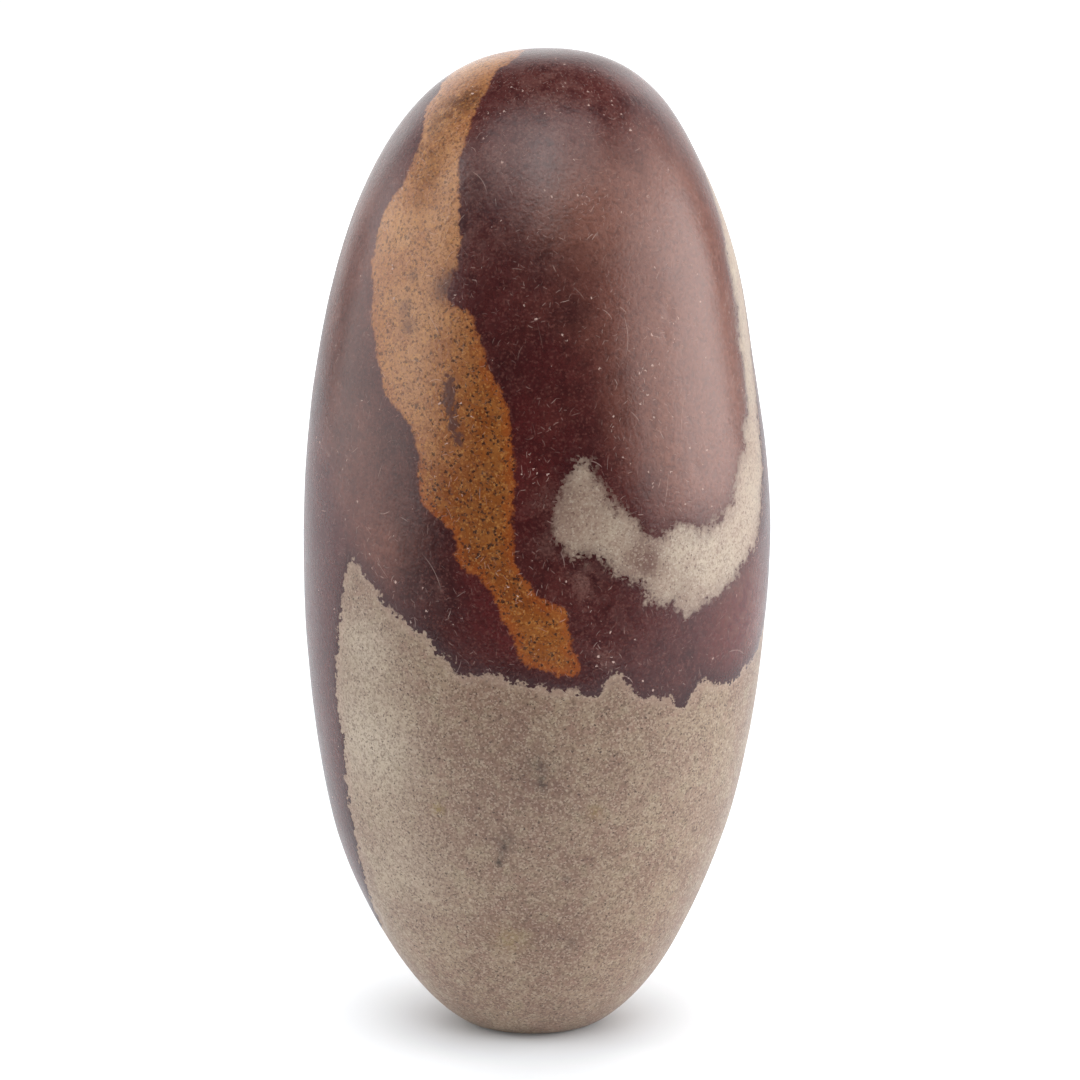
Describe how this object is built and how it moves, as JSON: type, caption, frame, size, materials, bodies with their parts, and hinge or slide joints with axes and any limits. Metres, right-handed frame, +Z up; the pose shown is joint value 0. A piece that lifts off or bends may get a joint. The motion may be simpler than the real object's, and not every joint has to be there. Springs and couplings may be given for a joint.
{
  "type": "lingam stone",
  "caption": "Tall egg-shaped river stone, hand polished, dark red with pale sandstone and ochre bands, standing on a small flat spot.",
  "frame": {"origin": "middle of the small flat spot the stone stands on", "axes": "+Z up along the stone's length, -Y the front, where the pale band hooks down over the dark red, +X the right"},
  "size_m": [0.0472, 0.043, 0.1],
  "materials": {
    "polished_stone": "satin polish on dark red stone, with smooth matt bands of cream sandstone and ochre"
  },
  "bodies": {
    "root": {"lingam_stone": "polished_stone"}
  },
  "joints": []
}
